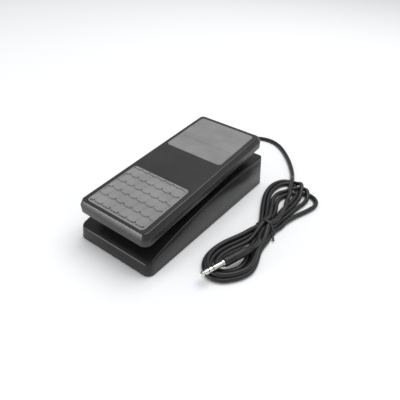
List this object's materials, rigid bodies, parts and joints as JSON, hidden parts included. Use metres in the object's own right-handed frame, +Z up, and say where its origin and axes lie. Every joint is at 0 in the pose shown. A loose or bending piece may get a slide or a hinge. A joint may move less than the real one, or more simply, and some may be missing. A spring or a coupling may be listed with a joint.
{
  "type": "expression pedal",
  "caption": "Rocking foot pedal: a sloped treadle turns a potentiometer through a gear sector, with a tied cord and a three-contact phone plug.",
  "frame": {"origin": "centre of the base footprint, on the floor that the feet stand on", "axes": "+Y from the heel end to the toe end, +X to the right seen from the heel, +Z up"},
  "size_m": [0.2015, 0.3718, 0.0801],
  "materials": {
    "base_paint": "black texture powder coat",
    "treadle_paint": "black satin paint",
    "pad_rubber": "grey moulded rubber with scale relief",
    "plate_rubber": "grey moulded rubber, nearly smooth",
    "zinc_steel": "zinc plated",
    "screw_steel": "zinc plated",
    "bright_steel": "bright",
    "black_rubber": "matt",
    "bronze": "satin",
    "white_nylon": "matt",
    "phenolic": "matt",
    "contact_brass": "satin",
    "cord_jacket": "soft satin PVC",
    "wire_insulation": "satin",
    "tie_plastic": "satin",
    "black_plastic": "satin gloss",
    "plug_metal": "bright nickel plate"
  },
  "bodies": {
    "base": {"base_shell": "base_paint", "bottom_plate": "zinc_steel", "bottom_screws": "screw_steel", "rubber_feet": "black_rubber", "pivot_bracket": "zinc_steel", "bracket_screws": "screw_steel", "pivot_axle": "bright_steel", "axle_clips": "screw_steel", "friction_washers": "bronze", "pot_bracket": "zinc_steel", "pot_bracket_screws": "screw_steel", "pot_can": "bright_steel", "pot_track": "phenolic", "pot_terminals": "contact_brass", "pot_washer": "bright_steel", "pot_nut": "bright_steel", "cord_clamp": "bright_steel", "clamp_screws": "screw_steel", "inner_cord": "cord_jacket", "lead_wires": "wire_insulation", "strain_relief": "black_rubber", "cord_lead": "cord_jacket", "cord_hank": "cord_jacket", "cord_tail": "cord_jacket", "twist_tie": "tie_plastic", "plug_boot": "black_rubber", "plug_barrel": "black_plastic", "plug_sleeve": "plug_metal", "plug_insulators": "black_plastic", "plug_ring": "plug_metal", "plug_tip": "plug_metal"},
    "treadle": {"treadle_shell": "treadle_paint", "heel_pad": "pad_rubber", "toe_plate": "plate_rubber", "toe_bumpers": "black_rubber", "heel_bumpers": "black_rubber", "hinge_yoke": "zinc_steel", "yoke_screws": "screw_steel", "axle_bushes": "white_nylon", "drive_sector": "white_nylon", "sector_screws": "screw_steel"},
    "pot_rotor": {"pot_shaft": "bright_steel", "pot_wiper": "contact_brass", "pinion_gear": "white_nylon", "pinion_setscrew": "screw_steel"}
  },
  "joints": [
    {"name": "treadle_tilt", "type": "hinge", "parent": "base", "child": "treadle", "pos_m": [0, 0, 0.03], "axis": [1, 0, 0], "range_deg": [-8.5, 9.5]},
    {"name": "pot_turn", "type": "hinge", "parent": "base", "child": "pot_rotor", "pos_m": [0.02, 0.03489, 0.02065], "axis": [1, 0, 0], "range_deg": [-47.6, 42.6]}
  ],
  "couplings": [
    {"joint": "pot_turn", "follows": "treadle_tilt", "ratio": -5}
  ]
}
